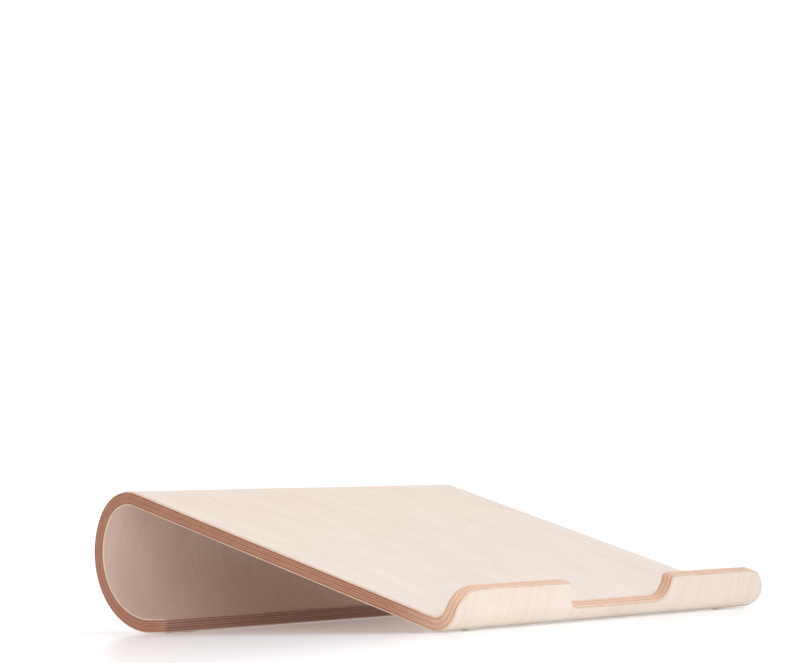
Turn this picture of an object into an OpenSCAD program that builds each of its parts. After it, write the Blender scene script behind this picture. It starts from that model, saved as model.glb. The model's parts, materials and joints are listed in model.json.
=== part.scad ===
// Laptop stand: one sheet of bent plywood.
// A short foot lies flat on the table, sweeps back and up through a two-radius rear bend,
// runs forward and down as the resting plate, and turns up at the front into a stop lip.
// Axes: +X to the right, +Y to the rear, +Z up. Origin: centre of the base, on the table.

/* [Sheet] */
// Width of the sheet, side to side
sheet_w = 235; // [200:1:280]
// Flat length of the resting plate, between the front bend and the rear bend
plate_l = 192; // [170:1:215]
// Slope of the resting plate above level, in degrees
slope = 18; // [14:0.5:20]

/* [Rear bend] */
// Radius of the tight upper part of the rear bend, on the outside of the sheet
upper_bend_r = 21.5; // [18:0.5:25]
// Angle that the upper part turns through, in degrees
upper_bend_angle = 76; // [60:1:85]
// Flat length of the foot, from the rear bend to its front edge
foot_l = 10; // [9:0.5:30]

/* [Front lip] */
// Radius of the front bend, on the inside of the sheet
front_bend_r = 5.3; // [4:0.1:7]
// Height of the lip above the resting face of the plate
lip_h = 15.2; // [12:0.1:18]
// Radius of the lip's two upper corners
lip_corner_r = 13; // [8:0.5:13]

/* [Finger notch] */
// Width of the notch in the middle of the lip
notch_w = 77; // [60:1:90]
// Height of the notch's floor above the resting face of the plate
notch_floor = 3.8; // [3:0.1:5]
// Radius of the notch's lower corners
notch_floor_r = 8; // [5:0.5:8]
// Radius of the notch's upper corners
notch_mouth_r = 2.4; // [1.5:0.1:3]

/* [Veneers] */
// Thickness of each of the two face veneers
face_t = 0.6; // [0.5:0.1:0.8]
// Thickness of each of the five core plies
core_t = 1.1; // [1:0.05:1.2]

/* [Grip dots] */
// Thickness of the clear grip dots
dot_t = 0.5; // [0.4:0.1:0.8]
// Diameter of the grip dots
dot_d = 7; // [6:0.1:7]
// Distance from a side of the sheet to a dot's centre
dot_inset = 22; // [15:1:60]

/* [Hidden] */
$fn = 180;

CORE_PLIES = 5;
sheet_t = 2 * face_t + CORE_PLIES * core_t;

// The plate's own frame has its origin at the centre of the front bend, +Y up the slope
// and +Z square to the plate. The upper bend's centre follows from the plate's length.
upper_c = [plate_l, -front_bend_r - upper_bend_r];

// The lower part of the rear bend has the radius that brings the foot down flat on the table.
sin_s = sin(slope);
cos_s = cos(slope);
sin_b = sin(upper_bend_angle);
cos_b = cos(upper_bend_angle);
lower_bend_r = (front_bend_r + sheet_t + sin_s * (plate_l + upper_bend_r * sin_b)
                - cos_s * (front_bend_r + upper_bend_r * (1 - cos_b)))
               / (1 + sin_s * sin_b + cos_s * cos_b);
lower_c = upper_c + (upper_bend_r - lower_bend_r) * [sin_b, cos_b];

// Places in the standing frame: [forward-back, height] measured from the front bend's centre.
function standing(p) = [cos_s * p[0] - sin_s * p[1], sin_s * p[0] + cos_s * p[1]];
front_c_z = dot_t + front_bend_r + sheet_t;
foot_y = standing(lower_c)[0];
rear_y = foot_y + lower_bend_r;
front_y = standing([-front_bend_r - sheet_t, lip_h - front_bend_r])[0];
shift_y = -(rear_y + front_y) / 2;

// Cut-away shapes reach this far past the sheet
spare = 3;
// Chords in each arc of a cut corner
ARC_STEPS = 16;
// Angle by which the two parts of the rear bend overlap, so that they fuse
BEND_LAP = 0.01;

// Points of an arc, from angle a0 to angle a1
function arc_points(c, r, a0, a1) =
    [for (i = [0:ARC_STEPS]) let (a = a0 + (a1 - a0) * i / ARC_STEPS) c + r * [cos(a), sin(a)]];

// A stretch of a bend: a ring cut to the angles a0 to a1, less than half a turn apart
module ring_sector(r_in, r_out, a0, a1) {
    reach = 2 * r_out;
    mid = (a0 + a1) / 2;
    intersection() {
        difference() {
            circle(r = r_out);
            circle(r = r_in);
        }
        polygon([[0, 0], reach * [cos(a0), sin(a0)], reach * [cos(mid), sin(mid)],
                 reach * [cos(a1), sin(a1)]]);
    }
}

// Side view of the layer between two depths below the sheet's upper face, in the plate's frame
module layer_profile(d0, d1) {
    translate([0, -front_bend_r - d1])
        square([plate_l, d1 - d0]);
    ring_sector(front_bend_r + d0, front_bend_r + d1, -180, -90);
    translate([-front_bend_r - d1, 0])
        square([d1 - d0, lip_h - front_bend_r]);
    translate(upper_c)
        ring_sector(upper_bend_r - d1, upper_bend_r - d0, 90 - upper_bend_angle - BEND_LAP, 90);
    translate(lower_c)
        rotate(-slope) {
            ring_sector(lower_bend_r - d1, lower_bend_r - d0, 0, 90 - upper_bend_angle + slope);
            ring_sector(lower_bend_r - d1, lower_bend_r - d0, -90, 0);
            translate([-foot_l, -lower_bend_r + d0])
                square([foot_l, d1 - d0]);
        }
}

// Waste cut from one upper corner of the lip, drawn in the lip's front view
module lip_corner_waste() {
    top = lip_h - front_bend_r;
    x = sheet_w / 2;
    polygon(concat(arc_points([x - lip_corner_r, top - lip_corner_r], lip_corner_r, 0, 90),
                   [[x - lip_corner_r, top + spare], [x + spare, top + spare],
                    [x + spare, top - lip_corner_r]]));
}

// Waste cut from the middle of the lip, drawn in the lip's front view
module notch_waste() {
    top = lip_h - front_bend_r;
    low = notch_floor - front_bend_r;
    x = notch_w / 2;
    right = concat(arc_points([x - notch_floor_r, low + notch_floor_r], notch_floor_r, -90, 0),
                   arc_points([x + notch_mouth_r, top - notch_mouth_r], notch_mouth_r, 180, 90),
                   [[x + notch_mouth_r, top + spare]]);
    left = [for (i = [len(right) - 1:-1:0]) [-right[i][0], right[i][1]]];
    polygon(concat(right, left));
}

// Everything cut from the lip after pressing, as prisms along the slope of the plate
module lip_waste() {
    translate([0, spare, 0])
        rotate([90, 0, 0])
            linear_extrude(height = front_bend_r + sheet_t + 2 * spare) {
                lip_corner_waste();
                mirror([1, 0])
                    lip_corner_waste();
                notch_waste();
            }
}

// Stands a shape drawn in the plate's frame on the table
module stand_up() {
    translate([0, shift_y, front_c_z])
        rotate([slope, 0, 0])
            children();
}

// One veneer of the sheet, between two depths below its upper face
module veneer(d0, d1) {
    stand_up()
        difference() {
            rotate([90, 0, 90])
                linear_extrude(height = sheet_w, center = true)
                    layer_profile(d0, d1);
            lip_waste();
        }
}

module face_veneer_upper() {
    color("#ecdcc2")
        veneer(0, face_t);
}

module face_veneer_lower() {
    color("#ecdcc2")
        veneer(sheet_t - face_t, sheet_t);
}

// Core ply number n, counted from 1 under the upper face veneer; odd plies run crosswise
module core_ply(n) {
    top = face_t + (n - 1) * core_t;
    color(n % 2 == 1 ? "#c08a63" : "#e2bf98")
        veneer(top, top + core_t);
}

// A dot under the foot; side is -1 for left, 1 for right
module grip_dot_rear(side) {
    color("#d8d6d0")
        translate([side * (sheet_w / 2 - dot_inset), shift_y + foot_y - foot_l / 2, 0])
            cylinder(d = dot_d, h = dot_t);
}

// A dot pressed round the underside of the front bend
module grip_dot_front(side) {
    bend_r = front_bend_r + sheet_t;
    color("#d8d6d0")
        translate([side * (sheet_w / 2 - dot_inset), shift_y, front_c_z])
            intersection() {
                rotate([0, 90, 0])
                    difference() {
                        cylinder(r = bend_r + dot_t, h = dot_d + spare, center = true);
                        cylinder(r = bend_r, h = dot_d + 2 * spare, center = true);
                    }
                translate([0, 0, -bend_r - spare])
                    cylinder(d = dot_d, h = bend_r);
            }
}

face_veneer_upper();
core_ply(1);  // core_ply_1
core_ply(2);  // core_ply_2
core_ply(3);  // core_ply_3
core_ply(4);  // core_ply_4
core_ply(5);  // core_ply_5
face_veneer_lower();
grip_dot_front(-1);  // grip_dot_front_left
grip_dot_front(1);  // grip_dot_front_right
grip_dot_rear(-1);  // grip_dot_rear_left
grip_dot_rear(1);  // grip_dot_rear_right
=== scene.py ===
"""Looks of the bent plywood laptop stand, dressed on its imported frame.

The stand is one pressed sheet of seven veneers with four grip dots. Every veneer and dot starts
as a flat blank with softened rims, and one Geometry Nodes tree, the press, bends them all.
"""

import json
import logging
import math
from dataclasses import dataclass
from enum import Enum

import bmesh
import bpy
from mathutils import Matrix, Vector

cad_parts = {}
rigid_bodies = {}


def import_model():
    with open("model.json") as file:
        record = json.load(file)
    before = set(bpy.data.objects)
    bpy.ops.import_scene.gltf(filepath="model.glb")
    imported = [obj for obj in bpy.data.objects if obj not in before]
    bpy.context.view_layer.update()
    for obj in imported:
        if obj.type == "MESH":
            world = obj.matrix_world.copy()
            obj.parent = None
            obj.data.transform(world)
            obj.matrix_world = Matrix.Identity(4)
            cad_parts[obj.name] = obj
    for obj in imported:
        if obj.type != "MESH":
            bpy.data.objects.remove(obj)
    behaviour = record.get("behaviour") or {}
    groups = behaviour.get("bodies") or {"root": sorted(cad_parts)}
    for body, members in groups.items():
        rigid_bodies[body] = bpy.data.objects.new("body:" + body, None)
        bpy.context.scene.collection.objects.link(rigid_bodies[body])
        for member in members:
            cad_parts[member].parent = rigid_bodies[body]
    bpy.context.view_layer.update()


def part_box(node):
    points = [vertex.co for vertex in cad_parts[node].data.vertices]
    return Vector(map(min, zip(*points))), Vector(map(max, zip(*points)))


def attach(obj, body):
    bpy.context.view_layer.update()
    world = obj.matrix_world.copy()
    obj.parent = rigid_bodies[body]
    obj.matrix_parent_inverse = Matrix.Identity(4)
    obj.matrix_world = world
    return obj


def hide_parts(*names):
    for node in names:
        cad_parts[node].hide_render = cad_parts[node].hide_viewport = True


log = logging.getLogger("laptop_stand")

BODY = "root"
FLAT = "sheet_flat"
Colour = tuple[float, float, float]
Place = tuple[float, float, float]
WHITE: Colour = (1.0, 1.0, 1.0)


class Wire:
    """A node's output as a number in an expression, so that maths reads as plain Python."""

    def __init__(self, graph: "NodeGraph", socket: bpy.types.NodeSocket) -> None:
        """Hold the graph and the output socket."""
        self.graph = graph
        self.socket = socket

    def __add__(self, other: "Number") -> "Wire":
        """Return self + other."""
        return self.graph.math("ADD", self, other)

    def __sub__(self, other: "Number") -> "Wire":
        """Return self - other."""
        return self.graph.math("SUBTRACT", self, other)

    def __rsub__(self, other: "Number") -> "Wire":
        """Return other - self."""
        return self.graph.math("SUBTRACT", other, self)

    def __mul__(self, other: "Number") -> "Wire":
        """Return self * other."""
        return self.graph.math("MULTIPLY", self, other)

    def __truediv__(self, other: "Number") -> "Wire":
        """Return self / other."""
        return self.graph.math("DIVIDE", self, other)

    def __abs__(self) -> "Wire":
        """Return the absolute value."""
        return self.graph.math("ABSOLUTE", self)

    __radd__ = __add__
    __rmul__ = __mul__


Number = Wire | float


class NodeGraph:
    """Adds nodes and links to one node tree."""

    def __init__(self, tree: bpy.types.NodeTree) -> None:
        """Start on an empty tree."""
        self.tree = tree
        tree.nodes.clear()

    def plug(self, socket: bpy.types.NodeSocket, value: object) -> None:
        """Link a wire to an input socket, or set the socket's own value.

        Args:
            socket: the input socket.
            value: a Wire, or a plain value for the socket.
        """
        if isinstance(value, Wire):
            self.tree.links.new(value.socket, socket)
        else:
            socket.default_value = value

    def add(self, kind: str, settings: dict | None = None, inputs: dict | None = None) -> bpy.types.Node:
        """Add any node.

        Args:
            kind: the node's type name.
            settings: property name to value.
            inputs: socket name or number to a Wire or a value.

        Returns:
            The new node.
        """
        node = self.tree.nodes.new(kind)
        for name, value in (settings or {}).items():
            setattr(node, name, value)
        for key, value in (inputs or {}).items():
            self.plug(node.inputs[key], value)
        return node

    def out(self, node: bpy.types.Node, name: str | int = 0) -> Wire:
        """Return one output of a node as a wire."""
        return Wire(self, node.outputs[name])

    def math(self, operation: str, *values: Number, clamp: bool = False) -> Wire:
        """Return a Math node's result."""
        node = self.add("ShaderNodeMath", {"operation": operation, "use_clamp": clamp},
                        dict(enumerate(values)))
        return self.out(node)

    def vector(self, x: Number, y: Number, z: Number) -> Wire:
        """Return three numbers as a vector."""
        return self.out(self.add("ShaderNodeCombineXYZ", None, {"X": x, "Y": y, "Z": z}))

    def split(self, vector: Wire) -> tuple[Wire, Wire, Wire]:
        """Return a vector's three numbers."""
        node = self.add("ShaderNodeSeparateXYZ", None, {0: vector})
        return self.out(node, 0), self.out(node, 1), self.out(node, 2)

    def step(self, value: Wire, low: float, high: float) -> Wire:
        """Return a smooth step.

        Args:
            value: the value stepped.
            low: value up to which the step is 0.
            high: value from which it is 1.

        Returns:
            The step.
        """
        settings = {"interpolation_type": "SMOOTHSTEP"}
        return self.out(self.add("ShaderNodeMapRange", settings,
                                 {"Value": value, "From Min": low, "From Max": high}))

    def noise(self, vector: Wire, detail: float = 2.0, roughness: float = 0.5) -> Wire:
        """Return a noise value, about 0 to 1, over a vector that is already scaled."""
        inputs = {"Vector": vector, "Scale": 1.0, "Detail": detail, "Roughness": roughness}
        return self.out(self.add("ShaderNodeTexNoise", None, inputs))

    def grey(self, value: Wire) -> Wire:
        """Return a number as a grey colour."""
        return self.out(self.add("ShaderNodeCombineColor", None,
                                 {"Red": value, "Green": value, "Blue": value}))

    def blend(self, factor: Number, first: "Wire | Colour", second: "Wire | Colour",
              mode: str = "MIX") -> Wire:
        """Return two colours mixed by a factor.

        Args:
            factor: 0 for the first colour, 1 for the mixed one.
            first: the first colour.
            second: the second colour.
            mode: how they mix.

        Returns:
            The mixed colour.
        """
        settings = {"data_type": "RGBA", "blend_type": mode}
        colours = [c if isinstance(c, Wire) else (*c, 1.0) for c in (first, second)]
        node = self.add("ShaderNodeMix", settings, {0: factor, 6: colours[0], 7: colours[1]})
        return self.out(node, 2)


@dataclass(frozen=True)
class Bend:
    """One bend of the sheet, measured on the line through the middle of its thickness.

    Attributes:
        start: distance along the flat sheet at which the bend begins, in metres.
        radius: radius of the middle line, in metres.
        angle: angle turned, in radians; positive turns up.
    """

    start: float
    radius: float
    angle: float

    @property
    def end(self) -> float:
        """Distance along the flat sheet at which the bend ends."""
        return self.start + self.radius * abs(self.angle)


@dataclass(frozen=True)
class SheetSizes:
    """Sizes of the pressed sheet, in metres and degrees."""

    width: float = 0.235
    plate_length: float = 0.192
    slope: float = 18.0
    upper_radius: float = 0.0215
    upper_angle: float = 76.0
    foot_length: float = 0.010
    foot_corner_radius: float = 0.0018
    front_radius: float = 0.0053
    lip_height: float = 0.0152
    lip_corner_radius: float = 0.013
    notch_width: float = 0.077
    notch_floor: float = 0.0038
    notch_floor_radius: float = 0.008
    notch_mouth_radius: float = 0.0024
    face_thickness: float = 0.0006
    core_thickness: float = 0.0011
    core_plies: int = 5
    dot_thickness: float = 0.0005
    dot_diameter: float = 0.007
    dot_inset: float = 0.022

    @property
    def thickness(self) -> float:
        """Thickness of the whole sheet."""
        return 2 * self.face_thickness + self.core_plies * self.core_thickness

    @property
    def lower_radius(self) -> float:
        """Outside radius of the lower rear bend, which brings the foot down flat."""
        slope, turn = math.radians(self.slope), math.radians(self.upper_angle)
        reach = math.sin(slope) * (self.plate_length + self.upper_radius * math.sin(turn))
        drop = math.cos(slope) * (self.front_radius + self.upper_radius * (1 - math.cos(turn)))
        share = 1 + math.sin(slope) * math.sin(turn) + math.cos(slope) * math.cos(turn)
        return (self.front_radius + self.thickness + reach - drop) / share

    @property
    def bends(self) -> tuple[Bend, Bend, Bend]:
        """The lower rear, upper rear and front bends, in order from the foot."""
        half = self.thickness / 2
        lower = Bend(self.foot_length, self.lower_radius - half,
                     math.radians(180 - self.upper_angle + self.slope))
        upper = Bend(lower.end, self.upper_radius - half, math.radians(self.upper_angle))
        front = Bend(upper.end + self.plate_length, self.front_radius + half, -math.pi / 2)
        return lower, upper, front

    @property
    def length(self) -> float:
        """Length of the flat sheet, from the foot's edge to the lip's."""
        return self.bends[-1].end + self.lip_height - self.front_radius

    @property
    def depth_of_plies(self) -> list[tuple[float, float]]:
        """Top and bottom depth of each veneer, from the sheet's upper face down."""
        inner = [self.face_thickness + n * self.core_thickness for n in range(self.core_plies + 1)]
        edges = [0.0, *inner, self.thickness]
        return list(zip(edges[:-1], edges[1:]))


@dataclass(frozen=True)
class Corner:
    """One rounded corner of a flat outline, drawn anticlockwise round the blank.

    Attributes:
        x: centre of the arc across the sheet.
        y: centre of the arc along the sheet.
        radius: radius of the arc.
        start: first angle, in degrees.
        end: last angle; lower than start where the corner is hollow.
        steps: number of chords in the arc.
        squeeze: scale of the arc along the sheet.
    """

    x: float
    y: float
    radius: float
    start: float
    end: float
    steps: int = 12
    squeeze: float = 1.0

    def points(self, inset: float) -> list[tuple[float, float]]:
        """Return the arc's points.

        Args:
            inset: how far the rim is moved in.

        Returns:
            The points as (x, y).
        """
        radius = self.radius + (inset if self.end < self.start else -inset)
        found = []
        for i in range(self.steps + 1):
            angle = math.radians(self.start + (self.end - self.start) * i / self.steps)
            found.append((self.x + radius * math.cos(angle),
                          self.y + radius * math.sin(angle) * self.squeeze))
        return found


@dataclass
class FlatBlank:
    """A flat blank: an outline built up through its thickness, level by level.

    Attributes:
        name: name of the piece.
        corners: the outline's corners, anticlockwise.
        levels: (depth, inset) pairs from the top of the blank to its bottom.
        stations: distances along the sheet at which every face is cut, so that it can bend.
        margin: width of the flat band that keeps the faces' shading flat up to the rim.
        snap: how near a cut may come to a point before it uses that point.
    """

    name: str
    corners: list[Corner]
    levels: list[tuple[float, float]]
    stations: list[float]
    margin: float = 0.0008
    snap: float = 2e-6

    def _ring(self, shape: bmesh.types.BMesh, depth: float, inset: float) -> list[bmesh.types.BMVert]:
        """Add one closed ring of the outline.

        Args:
            shape: the blank's mesh.
            depth: the ring's depth.
            inset: how far the ring is moved in.

        Returns:
            The ring's points.
        """
        flat = [p for corner in self.corners for p in corner.points(inset)]
        return [shape.verts.new((x, y, depth)) for x, y in flat]

    def build(self) -> bpy.types.Object:
        """Build the blank, lying flat with its depth along Z.

        Returns:
            The blank as an object.
        """
        shape = bmesh.new()
        (first, inset_first), (last, inset_last) = self.levels[0], self.levels[-1]
        rims = [(first, inset_first + self.margin), *self.levels, (last, inset_last + self.margin)]
        rings = [self._ring(shape, depth, inset) for depth, inset in rims]
        for near, far in zip(rings[:-1], rings[1:]):
            for i in range(len(near)):
                shape.faces.new((near[i - 1], near[i], far[i], far[i - 1]))
        shape.faces.new(rings[0])
        shape.faces.new(rings[-1])
        for station in self.stations:
            parts = shape.verts[:] + shape.edges[:] + shape.faces[:]
            bmesh.ops.bisect_plane(shape, geom=parts, dist=self.snap, plane_co=(0, station, 0),
                                   plane_no=(0, 1, 0))
        bmesh.ops.triangulate(shape, faces=[f for f in shape.faces if len(f.verts) > 4])
        bmesh.ops.recalc_face_normals(shape, faces=shape.faces[:])
        mesh = bpy.data.meshes.new(self.name)
        shape.to_mesh(mesh)
        shape.free()
        blank = bpy.data.objects.new(self.name, mesh)
        bpy.context.scene.collection.objects.link(blank)
        return blank


class Press:
    """The Geometry Nodes tree that bends a flat blank into the stand's shape."""

    BEND_NAMES = ("Lower", "Upper", "Front")
    SHARP_ANGLE = math.radians(35)

    def __init__(self, sizes: SheetSizes) -> None:
        """Build the tree.

        Args:
            sizes: sizes of the sheet.
        """
        self.sizes = sizes
        self.tree = bpy.data.node_groups.new("press", "GeometryNodeTree")
        self.graph = NodeGraph(self.tree)
        self.ids: dict[str, str] = {}
        self._build()

    def _socket(self, name: str, kind: str) -> None:
        """Add a named input to the tree and remember its identifier."""
        socket = self.tree.interface.new_socket(name, in_out="INPUT", socket_type=kind)
        self.ids[name] = socket.identifier

    def _set_position(self, geometry: Wire, position: Wire) -> Wire:
        """Move every point of a geometry."""
        node = self.graph.add("GeometryNodeSetPosition", None,
                              {"Geometry": geometry, "Position": position})
        return self.graph.out(node)

    def _bend(self, geometry: Wire, along: Wire, start: Wire, radius: Wire, angle: Wire) -> Wire:
        """Bend what lies past a line across the sheet.

        Args:
            geometry: the sheet, flat up to start.
            along: each point's distance along the flat sheet.
            start: where the bend begins.
            radius: radius of the middle line.
            angle: angle turned, signed.

        Returns:
            The bent geometry.
        """
        graph = self.graph
        length = radius * abs(angle)
        used = graph.math("MINIMUM", graph.math("MAXIMUM", along - start, 0.0), length)
        sign = graph.math("SIGN", angle)
        x, y, z = graph.split(graph.out(graph.add("GeometryNodeInputPosition")))
        turned = graph.add("ShaderNodeVectorRotate", {"rotation_type": "X_AXIS"},
                           {"Vector": graph.vector(x, y - used, z),
                            "Center": graph.vector(0.0, start, sign * radius),
                            "Angle": used / radius * sign})
        return self._set_position(geometry, graph.out(turned))

    def _build(self) -> None:
        """Lay out the tree: keep the flat place, bend from the lip back to the foot, and stand it."""
        graph = self.graph
        self._socket("Blank", "NodeSocketGeometry")
        for name in self.BEND_NAMES:
            for field in ("Start", "Radius", "Angle"):
                self._socket(f"{name} {field}", "NodeSocketFloat")
        self._socket("Middle Depth", "NodeSocketFloat")
        self._socket("Place", "NodeSocketVector")
        self._socket("Finish", "NodeSocketMaterial")
        self.tree.interface.new_socket("Piece", in_out="OUTPUT", socket_type="NodeSocketGeometry")
        source = graph.add("NodeGroupInput")
        position = graph.out(graph.add("GeometryNodeInputPosition"))
        kept = graph.add("GeometryNodeStoreNamedAttribute",
                         {"data_type": "FLOAT_VECTOR", "domain": "POINT"},
                         {"Geometry": graph.out(source, "Blank"), "Name": FLAT, "Value": position})
        x, y, depth = graph.split(graph.out(graph.add("GeometryNodeInputPosition")))
        height = depth - graph.out(source, "Middle Depth")
        geometry = self._set_position(graph.out(kept), graph.vector(x, y, height))
        flat = graph.add("GeometryNodeInputNamedAttribute", {"data_type": "FLOAT_VECTOR"},
                         {"Name": FLAT})
        along = graph.split(graph.out(flat))[1]
        for name in reversed(self.BEND_NAMES):
            values = [graph.out(source, f"{name} {field}") for field in ("Start", "Radius", "Angle")]
            geometry = self._bend(geometry, along, *values)
        standing = graph.add("GeometryNodeSetPosition", None,
                             {"Geometry": geometry, "Offset": graph.out(source, "Place")})
        real = graph.add("GeometryNodeRealizeInstances", None, {"Geometry": graph.out(standing)})
        dressed = graph.add("GeometryNodeSetMaterial", None,
                            {"Geometry": graph.out(real), "Material": graph.out(source, "Finish")})
        graph.add("NodeGroupOutput", None, {"Piece": graph.out(dressed)})

    def values(self, finish: bpy.types.Material) -> dict[str, object]:
        """Return every named input's value for one piece.

        Args:
            finish: the piece's material.

        Returns:
            Input name to value.
        """
        sizes = self.sizes
        half = sizes.thickness / 2
        foot_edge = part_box("core_ply_3")[1].y - (sizes.lower_radius - half + sizes.core_thickness / 2)
        place = (0.0, foot_edge - sizes.foot_length, sizes.dot_thickness + half)
        found: dict[str, object] = {"Middle Depth": half, "Place": place, "Finish": finish}
        for name, bend in zip(self.BEND_NAMES, sizes.bends):
            found[f"{name} Start"] = bend.start
            found[f"{name} Radius"] = bend.radius
            found[f"{name} Angle"] = bend.angle
        return found

    def press(self, blank: bpy.types.Object, finish: bpy.types.Material) -> bpy.types.Object:
        """Bend a flat blank and return it as a plain mesh object.

        Args:
            blank: the flat blank; it is removed.
            finish: the piece's material.

        Returns:
            The pressed piece, with its place in its mesh.
        """
        modifier = blank.modifiers.new("press", "NODES")
        modifier.node_group = self.tree
        for name, value in self.values(finish).items():
            modifier[self.ids[name]] = value
        evaluated = blank.evaluated_get(bpy.context.evaluated_depsgraph_get())
        mesh = bpy.data.meshes.new_from_object(evaluated)
        name = blank.name
        bpy.data.objects.remove(blank)
        mesh.name = name
        self._soften(mesh)
        piece = bpy.data.objects.new(name, mesh)
        bpy.context.scene.collection.objects.link(piece)
        return piece

    def _soften(self, mesh: bpy.types.Mesh) -> None:
        """Shade a mesh smooth except across its sharp arrises.

        Args:
            mesh: the mesh, changed in place.
        """
        shape = bmesh.new()
        shape.from_mesh(mesh)
        for face in shape.faces:
            face.smooth = True
        for edge in shape.edges:
            edge.smooth = len(edge.link_faces) == 2 and edge.calc_face_angle() < self.SHARP_ANGLE
        shape.to_mesh(mesh)
        shape.free()


class Grain(Enum):
    """The way a veneer's grain runs in the sheet."""

    LENGTHWISE = "lengthwise"
    CROSSWISE = "crosswise"


@dataclass(frozen=True)
class Streak:
    """One kind of streak in the wood, drawn out along the grain.

    Attributes:
        width: width of one streak across the grain, in metres.
        length: its length along the grain, in metres.
        shift: added to the veneer's seed, so that no two kinds line up.
        detail: octaves of finer noise.
        roughness: strength of each finer octave.
    """

    width: float
    length: float
    shift: float
    detail: float = 2.0
    roughness: float = 0.5

    def paint(self, graph: NodeGraph, across: Wire, along: Wire, seed: float) -> Wire:
        """Return the streaks as a value of about 0 to 1.

        Args:
            graph: the material's graph.
            across: distance across the grain.
            along: distance along it.
            seed: the veneer's seed.

        Returns:
            The streaks' value.
        """
        place = graph.vector(across * (1 / self.width), along * (1 / self.length), seed + self.shift)
        return graph.noise(place, self.detail, self.roughness)


@dataclass(frozen=True)
class Grit:
    """One kind of speckle on a cut edge.

    Attributes:
        along: speckles per metre along the edge.
        through: speckles per metre through the thickness.
        detail: octaves of finer noise.
        roughness: strength of each finer octave.
    """

    along: float
    through: float
    detail: float
    roughness: float = 0.5

    def paint(self, graph: NodeGraph, flat: tuple[Wire, Wire, Wire], seed: float) -> Wire:
        """Return the speckles as a value of about 0 to 1.

        Args:
            graph: the material's graph.
            flat: the point's place in the flat sheet.
            seed: the veneer's seed.

        Returns:
            The speckles' value.
        """
        x, y, depth = flat
        place = graph.vector(x * self.along, y * self.along, depth * self.through + seed)
        return graph.noise(place, self.detail, self.roughness)


@dataclass(frozen=True)
class Figure:
    """The streaks that make up a birch face, with each one's strength in colour and in relief.

    Attributes:
        sway: slow wander of the grain, and sway_reach how far it wanders, in metres.
        hill: the log's taper, cut into growth rings by rings; ring_span is where in a ring the
            late wood darkens.
        band: broad bands of tone.
        fibre: fine fibres.
        flame: soft marks across the grain.
        patch: uneven take-up of the lacquer.
        mean_tone: the tone between pale and tan about which they all vary.
        pore: open pores, and pore_span the values over which one opens.
        fleck: dark pith flecks, and fleck_span the values over which one shows.
    """

    sway: Streak = Streak(0.09, 0.24, 0.0)
    sway_reach: float = 0.02
    hill: Streak = Streak(0.050, 0.40, 3.0, 1.0)
    rings: float = 17.0
    ring_span: tuple[float, float] = (0.30, 0.94)
    ring_strength: float = 0.12
    ring_relief: float = 0.06
    band: Streak = Streak(0.006, 0.30, 5.0, 3.0)
    band_strength: float = 0.5
    fibre: Streak = Streak(0.0011, 0.045, 7.0, 4.0, 0.65)
    fibre_strength: float = 0.9
    fibre_relief: float = 0.6
    flame: Streak = Streak(0.035, 0.010, 9.0)
    flame_strength: float = 0.25
    patch: Streak = Streak(0.05, 0.12, 11.0)
    patch_strength: float = 0.6
    mean_tone: float = 0.38
    pore: Streak = Streak(0.0003, 0.0025, 13.0, 1.0)
    pore_span: tuple[float, float] = (0.60, 0.72)
    pore_strength: float = 0.16
    pore_relief: float = 0.22
    fleck: Streak = Streak(0.0009, 0.006, 17.0, 1.0)
    fleck_span: tuple[float, float] = (0.77, 0.82)
    fleck_strength: float = 0.40
    fleck_relief: float = 0.2


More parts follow.
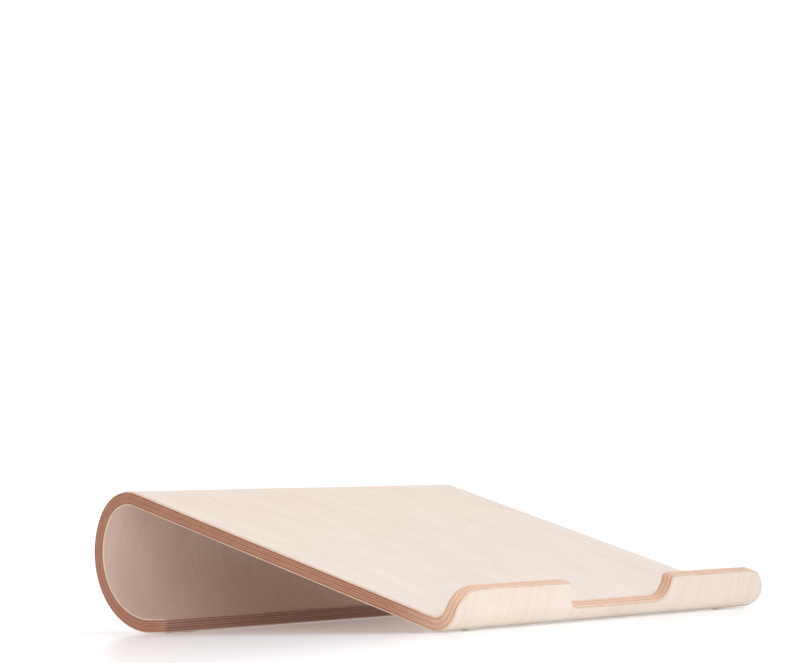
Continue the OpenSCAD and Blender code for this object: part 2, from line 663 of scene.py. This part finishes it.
@dataclass(frozen=True)
class BirchFinish:
    """Clear-lacquered birch veneer, with its face, its cut edges and its glue lines.

    Attributes:
        grain: which way the grain runs.
        top: depth of the veneer's upper side.
        bottom: depth of its lower side.
        seed: shifts the pattern, so that no two veneers match.
        half_width: distance from the sheet's middle to its sides.
        front: where the painted light starts to pale the cut edges towards the lip, and where
        they are palest.
        rear: where the rear tint starts to fade, and where it has gone.
        rear_tint_and_shade: tint of the face at the rear bend; on the lower face it is painted
            shade, pinker inside the bend and under the plate.
        foot: distance from the foot's edge over which the painted shade on its cut fades out.
        skin: True for a face veneer, whose thin cut shows in the sanded arris.
        figure: the streaks of its face.
        cut: depth at which a face turns to cut edge, from its start to its end.
        glue_line: depth to which glue darkens a cut edge, from its full strength to its end.
        glue_strength: how much it darkens it.
        glue_paleness: how far a core ply's rim pales where the glue has sealed it.
        rubbed: distance from the sides over which the face is rubbed, from most to none, with
            rub_strength its tone and rub_patchiness how far that varies.
        vessels: open ends of the vessels, where a cut meets the grain end on; end_turn is how far
            the cut has to face sideways for that.
        saw_marks: streaks of the saw along the edge.
        mottle: light and dark stretches of the edge.
        roughness: roughness of the lacquered face; cut_roughness is what a cut edge adds, and
            relief_gloss what a raised fibre takes off.
        relief_depth: height of the relief, in metres.
        coat: weight of the lacquer on a face; cut_coat is what a cut edge soaks up.
    """

    grain: Grain
    top: float
    bottom: float
    seed: float
    half_width: float
    front: tuple[float, float]
    rear: tuple[float, float]
    rear_tint_and_shade: Colour
    foot: tuple[float, float]
    skin: bool
    figure: Figure = Figure()
    cut: tuple[float, float] = (0.00001, 0.00012)
    glue_line: tuple[float, float] = (0.00003, 0.00011)
    glue_strength: float = 0.28
    glue_paleness: float = 0.5
    rubbed: tuple[float, float] = (0.0006, 0.0035)
    rub_strength: float = 0.22
    rub_patchiness: float = 0.25
    vessels: Grit = Grit(5200.0, 6400.0, 1.0)
    vessel_span: tuple[float, float] = (0.52, 0.70)
    vessel_depth: float = 0.30
    end_turn: tuple[float, float] = (0.25, 0.85)
    saw_marks: Grit = Grit(75.0, 5200.0, 3.0, 0.6)
    saw_strength: float = 0.35
    saw_relief: float = 0.6
    glue_relief: float = 0.4
    mottle: Grit = Grit(190.0, 900.0, 2.0)
    mottle_strength: float = 0.5
    roughness: float = 0.42
    cut_roughness: float = 0.14
    relief_gloss: float = 0.18
    relief_depth: float = 0.00006
    coat: float = 0.3
    cut_coat: float = 0.25
    pale: Colour = (0.85, 0.76, 0.665)
    tan: Colour = (0.73, 0.59, 0.475)
    late: Colour = (0.60, 0.43, 0.31)
    fleck: Colour = (0.42, 0.25, 0.16)
    edge_long: Colour = (0.43, 0.165, 0.083)
    edge_end: Colour = (0.395, 0.142, 0.068)
    # Painted light: paler cut-edge colours towards the lip, as if lit more strongly there.
    front_painted_light_long: Colour = (0.80, 0.52, 0.37)
    front_painted_light_end: Colour = (0.72, 0.42, 0.27)
    skin_long: Colour = (0.78, 0.63, 0.51)
    skin_end: Colour = (0.68, 0.50, 0.385)
    glue: Colour = (0.25, 0.115, 0.075)
    # Painted shade on the foot's cut edge, which lies under the plate: darker, cooler on the core plies.
    foot_shade_tint: Colour = (0.74, 0.93, 1.38)
    foot_skin_shade_tint: Colour = (0.80, 0.70, 0.68)

    def build(self, name: str) -> bpy.types.Material:
        """Build the finish.

        Args:
            name: name of the material.

        Returns:
            The material.
        """
        material = bpy.data.materials.new(name)
        material.use_nodes = True
        graph = NodeGraph(material.node_tree)
        flat = graph.split(graph.out(graph.add("ShaderNodeAttribute", {"attribute_name": FLAT}), "Vector"))
        face, face_relief = self._face(graph, flat)
        edge, edge_relief = self._edge(graph, flat)
        cut = graph.step(self._inside(graph, flat[2]), *self.cut)
        if not self.skin:
            cut = graph.math("MAXIMUM", cut, 1.0 - self.glue_paleness)
        colour = graph.blend(cut, face, edge)
        relief = face_relief * (1.0 - cut) + edge_relief * cut
        rough = self.roughness - (relief - 0.5) * self.relief_gloss + cut * self.cut_roughness
        bump = graph.add("ShaderNodeBump", None,
                         {"Strength": 0.4, "Distance": self.relief_depth, "Height": relief})
        shader = graph.add("ShaderNodeBsdfPrincipled", None,
                           {"Base Color": colour, "Roughness": rough, "IOR": 1.48,
                            "Coat Weight": self.coat - cut * self.cut_coat, "Coat Roughness": 0.24,
                            "Normal": graph.out(bump)})
        graph.add("ShaderNodeOutputMaterial", None, {"Surface": graph.out(shader)})
        return material

    def _inside(self, graph: NodeGraph, depth: Wire) -> Wire:
        """Return how far a point lies below the nearer side of the veneer."""
        return graph.math("MINIMUM", depth - self.top, self.bottom - depth)

    def _face(self, graph: NodeGraph, flat: tuple[Wire, Wire, Wire]) -> tuple[Wire, Wire]:
        """Paint the face: figure, bands, fibres, pores, flecks, rubbed rims and a rear tint (painted shade
        below).

        Args:
            graph: the material's graph.
            flat: the point's place in the flat sheet.

        Returns:
            Its colour and relief.
        """
        x, y, _ = flat
        figure, seed = self.figure, self.seed
        across, along = (x, y) if self.grain is Grain.LENGTHWISE else (y, x)
        bent = across + (figure.sway.paint(graph, across, along, seed) - 0.5) * figure.sway_reach
        ring = graph.math("FRACT", figure.hill.paint(graph, bent, along, seed) * figure.rings)
        late = graph.step(ring, *figure.ring_span) * (1.0 - graph.step(ring, figure.ring_span[1], 1.0))
        band = figure.band.paint(graph, bent, along, seed) - 0.5
        fibre = figure.fibre.paint(graph, bent, along, seed) - 0.5
        flame = figure.flame.paint(graph, across, along, seed) - 0.5
        patch = figure.patch.paint(graph, across, along, seed) - 0.5
        tone = (figure.mean_tone + band * figure.band_strength + fibre * figure.fibre_strength
                + flame * figure.flame_strength + patch * figure.patch_strength)
        colour = graph.blend(graph.math("ADD", tone, 0.0, clamp=True), self.pale, self.tan)
        colour = graph.blend(late * figure.ring_strength, colour, self.late)
        pores = graph.step(figure.pore.paint(graph, across, along, seed), *figure.pore_span)
        colour = graph.blend(pores * figure.pore_strength, colour, self.late)
        flecks = graph.step(figure.fleck.paint(graph, across, along, seed), *figure.fleck_span)
        colour = graph.blend(flecks * figure.fleck_strength, colour, self.fleck)
        # Rear tint; on the lower face it is painted shade, pinker inside the rear bend and under the
        # plate.
        rear = 1.0 - graph.step(y, *self.rear)
        colour = graph.blend(rear, colour, self.rear_tint_and_shade, "MULTIPLY")
        rim = 1.0 - graph.step(self.half_width - abs(x), *self.rubbed)
        colour = graph.blend(rim * (self.rub_strength + patch * self.rub_patchiness), colour, self.tan)
        relief = (0.5 + fibre * figure.fibre_relief - pores * figure.pore_relief
                  - flecks * figure.fleck_relief - late * figure.ring_relief)
        return colour, relief

    def _edge(self, graph: NodeGraph, flat: tuple[Wire, Wire, Wire]) -> tuple[Wire, Wire]:
        """Paint the cut edge, by how the saw met the grain, with painted light and painted shade.

        Args:
            graph: the material's graph.
            flat: the point's place in the flat sheet.

        Returns:
            Its colour and relief.
        """
        normal = graph.add("ShaderNodeNewGeometry")
        end = graph.step(abs(graph.split(graph.out(normal, "Normal"))[0]), *self.end_turn)
        if self.grain is Grain.LENGTHWISE:
            end = 1.0 - end
        saw = self.saw_marks.paint(graph, flat, self.seed)
        mottle = self.mottle.paint(graph, flat, self.seed)
        if self.skin:
            colour = graph.blend(end, self.skin_long, self.skin_end)
        else:
            # Painted light: the cut edges are painted paler towards the lip, as if lit more strongly
            # there.
            front = graph.step(flat[1], *self.front)
            long_cut = graph.blend(front, self.edge_long, self.front_painted_light_long)
            end_cut = graph.blend(front, self.edge_end, self.front_painted_light_end)
            colour = graph.blend(end, long_cut, end_cut)
        # Painted shade: the foot's cut edge, which lies in shade under the plate, is tinted darker.
        foot = 1.0 - graph.step(flat[1], *self.foot)
        foot_shade = self.foot_skin_shade_tint if self.skin else self.foot_shade_tint
        colour = graph.blend(foot, colour, foot_shade, "MULTIPLY")
        shade = 1.0 + (mottle - 0.5) * self.mottle_strength + (saw - 0.5) * self.saw_strength
        open_ends = graph.step(self.vessels.paint(graph, flat, self.seed), *self.vessel_span)
        pits = open_ends * self.vessel_depth * end
        colour = graph.blend(1.0, colour, graph.grey(shade - pits), "MULTIPLY")
        line = 1.0 - graph.step(self._inside(graph, flat[2]), *self.glue_line)
        colour = graph.blend(line * saw * self.glue_strength, colour, self.glue)
        relief = 0.5 + (saw - 0.5) * self.saw_relief * (1.0 - end) - pits - line * self.glue_relief
        return colour, relief


@dataclass(frozen=True)
class SiliconeFinish:
    """Milky silicone film of the grip dots."""

    colour: Colour = (0.96, 0.93, 0.90)
    dusty: Colour = (0.90, 0.86, 0.81)
    clouds: Grit = Grit(900.0, 900.0, 3.0)
    frost: Grit = Grit(9000.0, 9000.0, 1.0)

    def build(self, name: str) -> bpy.types.Material:
        """Build the finish.

        Args:
            name: name of the material.

        Returns:
            The material.
        """
        material = bpy.data.materials.new(name)
        material.use_nodes = True
        graph = NodeGraph(material.node_tree)
        x, y, z = graph.split(graph.out(graph.add("ShaderNodeTexCoord"), "Object"))
        cloud = self.clouds.paint(graph, (x, y, z), 0.0)
        frost = self.frost.paint(graph, (x, y, z), 0.0)
        bump = graph.add("ShaderNodeBump", None,
                         {"Strength": 0.25, "Distance": 0.00003, "Height": frost})
        shader = graph.add("ShaderNodeBsdfPrincipled", None,
                           {"Base Color": graph.blend(cloud, self.colour, self.dusty),
                            "Roughness": 0.35 + cloud * 0.25, "IOR": 1.41,
                            "Transmission Weight": 0.05, "Normal": graph.out(bump)})
        graph.add("ShaderNodeOutputMaterial", None, {"Surface": graph.out(shader)})
        return material


@dataclass
class Laminate:
    """The sheet's seven veneers.

    Attributes:
        sizes: sizes of the sheet.
        press: the press that bends each blank.
        arris_radius: radius to which the outer arrises are sanded.
        glue_groove: how far a veneer's edge draws back at a glue line.
        bend_step: angle between the cuts of a bend, in degrees.
        painted_light_length: length over which painted light pales the cut edges towards the lip;
        painted_light_past is how far round the lip that goes on.
        foot_shading: where the painted shade on the foot's cut fades, as shares of its corner radius.
        seed_step: step between the patterns of two veneers.
        rear_tint_and_shade: painted shade, a pinker tint of the lower face inside the rear bend.
        honey: tint of the upper face over the rear bend and the plate.
        wall_levels: levels in the thickness of one veneer.
        plate_cuts: stretches into which the flat plate is cut.
    """

    sizes: SheetSizes
    press: Press
    arris_radius: float = 0.0009
    glue_groove: float = 0.00004
    bend_step: float = 2.5
    painted_light_length: float = 0.03
    painted_light_past: float = 0.0075
    foot_shading: tuple[float, float] = (0.2, 0.9)
    seed_step: float = 11.0
    # Painted shade: a pinker lower face inside the rear bend.
    rear_tint_and_shade: Colour = (1.0, 0.905, 0.925)
    honey: Colour = (1.0, 0.95, 0.89)
    wall_levels: int = 5
    plate_cuts: int = 8

    def corners(self) -> list[Corner]:
        """Work out the sheet's flat outline.

        Returns:
            Its corners, anticlockwise from the foot's right one.
        """
        sizes = self.sizes
        side, length = sizes.width / 2, sizes.length
        foot, lip = sizes.foot_corner_radius, sizes.lip_corner_radius
        mouth, floor = sizes.notch_mouth_radius, sizes.notch_floor_radius
        notch = sizes.notch_width / 2
        floor_y = length - (sizes.lip_height - sizes.notch_floor) + floor
        return [
            Corner(side - foot, foot, foot, -90, 0, steps=6),
            Corner(side - lip, length - lip, lip, 0, 90, steps=24),
            Corner(notch + mouth, length - mouth, mouth, 90, 180, steps=10),
            Corner(notch - floor, floor_y, floor, 0, -90, steps=18),
            Corner(floor - notch, floor_y, floor, -90, -180, steps=18),
            Corner(-notch - mouth, length - mouth, mouth, 0, 90, steps=10),
            Corner(lip - side, length - lip, lip, 90, 180, steps=24),
            Corner(foot - side, foot, foot, 180, 270, steps=6),
        ]

    def stations(self) -> list[float]:
        """Work out where the blank is cut across, finely in the bends.

        Returns:
            Distances along the flat sheet, in order.
        """
        found = []
        for bend in self.sizes.bends:
            count = round(abs(math.degrees(bend.angle)) / self.bend_step)
            found += [bend.start + (bend.end - bend.start) * i / count for i in range(count + 1)]
        plate_start, plate_end = self.sizes.bends[1].end, self.sizes.bends[2].start
        step = (plate_end - plate_start) / self.plate_cuts
        return sorted(found + [plate_start + step * i for i in range(1, self.plate_cuts)])

    def arris_inset(self, depth: float) -> float:
        """Return how far the sanded rim draws back.

        Args:
            depth: depth below the sheet's upper face.

        Returns:
            The inset at that depth.
        """
        near = min(depth, self.sizes.thickness - depth)
        if near >= self.arris_radius:
            return 0.0
        rise = self.arris_radius - near
        return self.arris_radius - math.sqrt(self.arris_radius ** 2 - rise ** 2)

    def levels(self, top: float, bottom: float) -> list[tuple[float, float]]:
        """Return one veneer's levels, close together on a sanded arris.

        Args:
            top: depth of its upper side.
            bottom: depth of its lower side.

        Returns:
            Its (depth, inset) pairs.
        """
        found = []
        for i in range(self.wall_levels + 1):
            share = i / self.wall_levels
            if top == 0.0:
                share = 1 - math.cos(share * math.pi / 2)
            elif bottom >= self.sizes.thickness:
                share = math.sin(share * math.pi / 2)
            depth = top + (bottom - top) * share
            at_glue = (i == 0 and top > 0.0) or (i == self.wall_levels
                                                 and bottom < self.sizes.thickness)
            groove = self.glue_groove if at_glue else 0.0
            found.append((depth, self.arris_inset(min(depth, self.sizes.thickness)) + groove))
        return found

    def build(self) -> list[bpy.types.Object]:
        """Build every veneer as its own piece, in place of its CAD node.

        Returns:
            The seven pieces, from the upper face down.
        """
        plies = self.sizes.depth_of_plies
        stations, corners = self.stations(), self.corners()
        bend = self.sizes.bends[2]
        # Span of the painted light that pales the cut edges towards the lip.
        front = (bend.start - self.painted_light_length, bend.end + self.painted_light_past)
        # Span of the rear tint, which on the lower face is painted shade.
        rear = (self.sizes.bends[1].start, bend.start)
        # Span of the painted shade on the foot's cut edge.
        foot = tuple(share * self.sizes.foot_corner_radius for share in self.foot_shading)
        pieces = []
        for number, (top, bottom) in enumerate(plies):
            node = self.node_name(number)
            grain = Grain.CROSSWISE if number % 2 else Grain.LENGTHWISE
            finish = BirchFinish(grain, top, bottom, self.seed_step * number, self.sizes.width / 2,
                                 front, rear, rear_tint_and_shade=self.rear_tint_and_shade if number else self.honey, foot=foot,
                                 skin=self.slot_name(number) == "face_veneer")
            blank = FlatBlank(f"{node}_veneer", corners, self.levels(top, bottom), stations)
            piece = self.press.press(blank.build(), finish.build(f"birch_{node}"))
            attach(piece, BODY)
            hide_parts(node)
            self.slot_name(number)
            log.info("%s: %s grain, %d faces", piece.name, grain.value, len(piece.data.polygons))
            pieces.append(piece)
        return pieces

    def node_name(self, number: int) -> str:
        """Return the CAD node of a veneer.

        Args:
            number: the veneer, counted from the upper face.

        Returns:
            The node's name.
        """
        if number == 0:
            return "face_veneer_upper"
        if number == self.sizes.core_plies + 1:
            return "face_veneer_lower"
        return f"core_ply_{number}"

    def slot_name(self, number: int) -> str:
        """Return the material slot of a veneer.

        Args:
            number: the veneer, counted from the upper face.

        Returns:
            The slot's name.
        """
        if number in (0, self.sizes.core_plies + 1):
            return "face_veneer"
        return "cross_core" if number % 2 else "long_core"


@dataclass
class GripDots:
    """The four silicone dots under the foot and round the front bend.

    Attributes:
        sizes: sizes of the sheet and its dots.
        press: the press that bends each blank.
        rim_radius: rounding of a dot's free rim, in rim_levels levels.
        margin: width of the flat band inside a dot's rim.
        steps: number of points round a dot.
        strips: number of strips into which a dot is cut, so that it can bend.
    """

    sizes: SheetSizes
    press: Press
    rim_radius: float = 0.0002
    rim_levels: int = 4
    margin: float = 0.0006
    steps: int = 48
    strips: int = 12

    def levels(self, glued: float, free: float) -> list[tuple[float, float]]:
        """Return a dot's levels.

        Args:
            glued: depth of its glued side.
            free: depth of its free side.

        Returns:
            Its (depth, inset) pairs, from its glued side to its free side.
        """
        way = 1.0 if free > glued else -1.0
        found = [(glued, 0.0)]
        for i in range(self.rim_levels + 1):
            turn = math.pi / 2 * i / self.rim_levels
            found.append((free - way * self.rim_radius * (1 - math.sin(turn)),
                          self.rim_radius * (1 - math.cos(turn))))
        return found

    def build(self) -> list[bpy.types.Object]:
        """Build the four dots in place of their CAD nodes.

        Returns:
            The four pieces.
        """
        sizes = self.sizes
        front = sizes.bends[2]
        front_y = front.start + front.radius * math.radians(sizes.slope)
        outside = sizes.front_radius + sizes.thickness + sizes.dot_thickness / 2
        stretch = front.radius / outside
        finish = SiliconeFinish().build("frosted_silicone")
        spots = {
            "front": (front_y, sizes.thickness, sizes.thickness + sizes.dot_thickness, stretch),
            "rear": (sizes.foot_length / 2, 0.0, -sizes.dot_thickness, 1.0),
        }
        pieces = []
        for end, (y, glued, free, squeeze) in spots.items():
            for side, way in (("left", -1), ("right", 1)):
                node = f"grip_dot_{end}_{side}"
                x = way * (sizes.width / 2 - sizes.dot_inset)
                rim = Corner(x, y, sizes.dot_diameter / 2, 0, 360 - 360 / self.steps,
                             self.steps - 1, squeeze)
                reach = sizes.dot_diameter / 2 * squeeze
                cuts = [y + reach * (2 * i / self.strips - 1) for i in range(1, self.strips)]
                blank = FlatBlank(f"{node}_film", [rim], self.levels(glued, free), cuts, self.margin)
                piece = self.press.press(blank.build(), finish)
                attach(piece, BODY)
                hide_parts(node)
                log.info("%s: %d faces", piece.name, len(piece.data.polygons))
                pieces.append(piece)
        return pieces


@dataclass(frozen=True)
class Lamp:
    """A soft lamp aimed at the stand.

    Attributes:
        name: name of the lamp.
        kind: "AREA" for a soft box, "SUN" for an even wash over the whole floor.
        place: where it stands; for a sun, only its direction counts.
        power: watts of a soft box, strength of a sun.
        spread: side of a soft box in metres, angle of a sun in radians.
        colour: its colour.
    """

    name: str
    kind: str
    place: Place
    power: float
    spread: float
    colour: Colour = WHITE

    def build(self) -> None:
        """Add the lamp to the scene."""
        data = bpy.data.lights.new(self.name, self.kind)
        if self.kind == "AREA":
            data.shape = "SQUARE"
            data.size = self.spread
        else:
            data.angle = self.spread
        data.energy = self.power
        data.color = self.colour
        lamp = bpy.data.objects.new(self.name, data)
        place = Vector(self.place)
        turn = (-place).to_track_quat("-Z", "Y").to_matrix().to_4x4()
        lamp.matrix_world = Matrix.Translation(place) @ turn
        bpy.context.scene.collection.objects.link(lamp)


@dataclass
class Studio:
    """The pale floor and surround, the soft light and the camera.

    Attributes:
        floor_radius: radius of the floor and of the white dome over it.
        floor_colour: the floor's colour, with its roughness and the strength of its own light.
        surround_strength: strength of the dome's light.
        front: direction from which the sky is brightest; sky_front and sky_back are its two
            colours, and sky_span where it turns from one to the other.
        lens: focal length, and sensor the picture's width, in millimetres.
        sight: how far the camera sees, in metres.
        camera_place: where the camera stands, with camera_right and camera_forward its axes.
        lamps: the lamps.
    """

    floor_radius: float = 12.0
    floor_colour: Colour = (0.93, 0.93, 0.93)
    floor_roughness: float = 0.27
    floor_glow: float = 0.15
    surround_strength: float = 1.12
    front: Place = (0.45, -0.85, 0.28)
    sky_front: Colour = (0.69, 0.59, 0.65)
    sky_back: Colour = (0.45, 0.415, 0.385)
    sky_span: tuple[float, float] = (-0.9, 0.9)
    lens: float = 123.06
    sensor: float = 36.0
    sight: float = 50.0
    camera_place: Place = (-1.0155, -0.8664, 0.0472)
    camera_right: Place = (0.6575, -0.7525, -0.0383)
    camera_forward: Place = (0.7530, 0.6543, 0.0703)
    lamps: tuple[Lamp, ...] = (
        Lamp("wash", "SUN", (0.25, -0.62, 0.76), 1.22, math.radians(50), (0.80, 0.98, 0.98)),
        Lamp("fill", "AREA", (-0.46, -0.46, 0.18), 0.84, 0.30, (0.93, 1.0, 0.98)),
    )

    def build(self) -> None:
        """Add everything that isn't the stand."""
        self._floor()
        self._surround()
        self._world()
        for lamp in self.lamps:
            lamp.build()
        self._camera()

    def _stage(self, name: str, shape: bmesh.types.BMesh, shader: str,
               inputs: dict) -> bpy.types.Object:
        """Add one stage piece of a single material.

        Args:
            name: name of the piece.
            shape: its mesh, which is freed.
            shader: type of its shader node.
            inputs: the shader's inputs.

        Returns:
            The piece.
        """
        mesh = bpy.data.meshes.new(name)
        shape.to_mesh(mesh)
        shape.free()
        piece = bpy.data.objects.new(name, mesh)
        bpy.context.scene.collection.objects.link(piece)
        material = bpy.data.materials.new(name)
        material.use_nodes = True
        graph = NodeGraph(material.node_tree)
        surface = graph.out(graph.add(shader, None, inputs))
        graph.add("ShaderNodeOutputMaterial", None, {"Surface": surface})
        mesh.materials.append(material)
        return piece

    def _floor(self) -> None:
        """Add a round, very wide floor of pale satin board."""
        shape = bmesh.new()
        bmesh.ops.create_circle(shape, cap_ends=True, segments=64, radius=self.floor_radius)
        self._stage("floor", shape, "ShaderNodeBsdfPrincipled",
                    {"Base Color": (*self.floor_colour, 1.0), "Roughness": self.floor_roughness,
                     "Emission Color": (*WHITE, 1.0), "Emission Strength": self.floor_glow})

    def _surround(self) -> None:
        """Add a white dome that is seen behind the stand but sheds no light on it."""
        shape = bmesh.new()
        bmesh.ops.create_uvsphere(shape, u_segments=32, v_segments=16, radius=self.floor_radius)
        bmesh.ops.reverse_faces(shape, faces=shape.faces[:])
        dome = self._stage("surround", shape, "ShaderNodeEmission",
                           {"Color": (*WHITE, 1.0), "Strength": self.surround_strength})
        dome.visible_diffuse = False
        dome.visible_shadow = False

    def _world(self) -> None:
        """Light the scene from all round, brighter from the front."""
        world = bpy.data.worlds.new("studio")
        world.use_nodes = True
        graph = NodeGraph(world.node_tree)
        way = graph.out(graph.add("ShaderNodeTexCoord"), "Generated")
        facing = graph.out(graph.add("ShaderNodeVectorMath", {"operation": "DOT_PRODUCT"},
                                     {0: way, 1: Vector(self.front).normalized()}), "Value")
        colour = graph.blend(graph.step(facing, *self.sky_span), self.sky_back, self.sky_front)
        sky = graph.add("ShaderNodeBackground", None, {"Color": colour})
        graph.add("ShaderNodeOutputWorld", None, {"Surface": graph.out(sky)})
        bpy.context.scene.world = world

    def _camera(self) -> None:
        """Add the camera, low in front of the left corner."""
        forward = Vector(self.camera_forward).normalized()
        right = Vector(self.camera_right)
        right = (right - forward * right.dot(forward)).normalized()
        up = right.cross(forward)
        turn = Matrix((right, up, -forward)).transposed().to_4x4()
        data = bpy.data.cameras.new("camera")
        data.lens = self.lens
        data.sensor_width = self.sensor
        data.clip_end = self.sight
        camera = bpy.data.objects.new("camera", data)
        camera.matrix_world = Matrix.Translation(self.camera_place) @ turn
        bpy.context.scene.collection.objects.link(camera)
        bpy.context.scene.camera = camera
        bpy.context.scene.view_settings.view_transform = "Standard"


def main() -> None:
    """Build the stand's pieces and the studio."""
    logging.basicConfig(level=logging.INFO, format="%(name)s: %(message)s")
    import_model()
    sizes = SheetSizes()
    press = Press(sizes)
    Laminate(sizes, press).build()
    GripDots(sizes, press).build()
    Studio().build()


if __name__ == "__main__":
    main()
